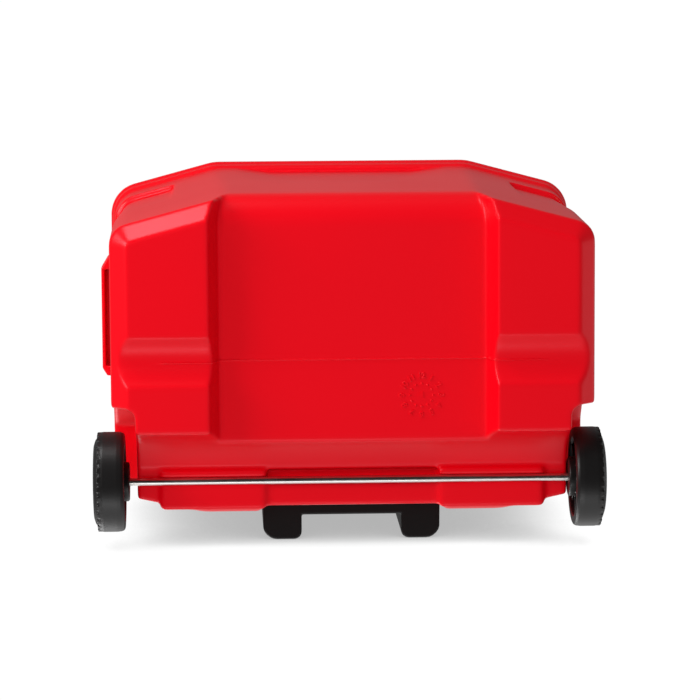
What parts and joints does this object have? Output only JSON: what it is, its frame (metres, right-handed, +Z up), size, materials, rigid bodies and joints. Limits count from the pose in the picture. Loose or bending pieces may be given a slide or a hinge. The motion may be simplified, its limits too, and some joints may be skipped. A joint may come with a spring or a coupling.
{
  "type": "wheeled cooler",
  "caption": "Hard insulated cooler with a hinged lid, two wheels on a steel axle in its rear corners, and a telescoping pull handle on its back.",
  "frame": {"origin": "on the ground under the middle of the whole object's box", "axes": "+Z up, front towards -Y, wheels and pull handle towards +Y, +X towards the cooler's right side as seen from the front"},
  "size_m": [0.632, 0.4454, 0.4883],
  "materials": {
    "red_shell": "satin with a fine mould grain",
    "white_plastic": "satin",
    "black_plastic": "fine matte grain",
    "wheel_plastic": "semi-matte, lightly scuffed tread",
    "steel": "drawn bar, zinc plated",
    "tube_aluminium": "satin anodised",
    "seal_rubber": "matte",
    "foam": "expanded foam, hidden"
  },
  "bodies": {
    "tub": {"axle": "steel", "axle_push_nuts": "steel", "axle_washers": "steel", "body_foam": "foam", "body_liner": "white_plastic", "body_shell": "red_shell", "drain_gasket": "seal_rubber", "drain_nut": "white_plastic", "drain_spout": "white_plastic", "guide_collar_left": "black_plastic", "guide_collar_right": "black_plastic", "handle_housing": "black_plastic", "hinge_body_leaves": "white_plastic", "hinge_body_screws": "steel", "hinge_pins": "steel", "housing_screws": "steel", "side_handle_left": "red_shell", "side_handle_right": "red_shell"},
    "lid": {"lid_shell": "white_plastic", "lid_foam": "foam", "lid_liner": "white_plastic", "hinge_lid_leaves": "white_plastic", "hinge_lid_screws": "steel"},
    "wheel_left": {"wheel_left": "wheel_plastic", "hub_cap_left": "black_plastic"},
    "wheel_right": {"wheel_right": "wheel_plastic", "hub_cap_right": "black_plastic"},
    "handle_stage": {"middle_tube_left": "tube_aluminium", "middle_tube_right": "tube_aluminium", "middle_collar_left": "black_plastic", "middle_collar_right": "black_plastic"},
    "handle_inner": {"inner_tube_left": "tube_aluminium", "inner_tube_right": "tube_aluminium", "foot_plug_left": "black_plastic", "foot_plug_right": "black_plastic", "grip_front": "black_plastic", "grip_back": "black_plastic", "grip_screws": "steel", "button_springs": "steel"},
    "release": {"release_button": "black_plastic", "release_bar": "steel", "push_rod_left": "steel", "push_rod_right": "steel"},
    "lock_pin_left": {"lock_pin_left": "steel"},
    "lock_pin_right": {"lock_pin_right": "steel"},
    "drain_seal": {"drain_seal": "seal_rubber"},
    "drain_cap": {"drain_cap": "black_plastic"}
  },
  "joints": [
    {"name": "lid_hinge", "type": "hinge", "parent": "tub", "child": "lid", "pos_m": [0, 0.16515, 0.463], "axis": [-1, 0, 0], "range_deg": [0, 90]},
    {"name": "wheel_left_spin", "type": "hinge", "parent": "tub", "child": "wheel_left", "pos_m": [-0.29, 0.14025, 0.0609], "axis": [1, 0, 0], "continuous": true},
    {"name": "wheel_right_spin", "type": "hinge", "parent": "tub", "child": "wheel_right", "pos_m": [0.29, 0.14025, 0.0609], "axis": [1, 0, 0], "continuous": true},
    {"name": "stage_slide", "type": "slide", "parent": "tub", "child": "handle_stage", "axis": [0, 0, 1], "range_m": [0, 0.215]},
    {"name": "handle_slide", "type": "slide", "parent": "handle_stage", "child": "handle_inner", "axis": [0, 0, 1], "range_m": [0, 0.215]},
    {"name": "button_press", "type": "slide", "parent": "handle_inner", "child": "release", "axis": [0, 0, -1], "range_m": [0, 0.003], "stiffness_N_per_m": 500, "springref_m": -0.004, "deforming": ["button_springs"]},
    {"name": "lock_pin_left_slide", "type": "slide", "parent": "handle_inner", "child": "lock_pin_left", "axis": [1, 0, 0], "range_m": [0, 0.003]},
    {"name": "lock_pin_right_slide", "type": "slide", "parent": "handle_inner", "child": "lock_pin_right", "axis": [-1, 0, 0], "range_m": [0, 0.003]},
    {"name": "drain_slide", "type": "slide", "parent": "tub", "child": "drain_seal", "axis": [1, 0, 0], "range_m": [0, 0.0121]},
    {"name": "drain_turn", "type": "hinge", "parent": "drain_seal", "child": "drain_cap", "pos_m": [0.286, -0.07, 0.078], "axis": [1, 0, 0], "range_deg": [0, 1440]}
  ],
  "couplings": [
    {"joint": "lock_pin_left_slide", "follows": "button_press", "ratio": 1},
    {"joint": "lock_pin_right_slide", "follows": "button_press", "ratio": 1},
    {"joint": "drain_slide", "follows": "drain_turn", "m_per_rad": 0.0004775}
  ]
}
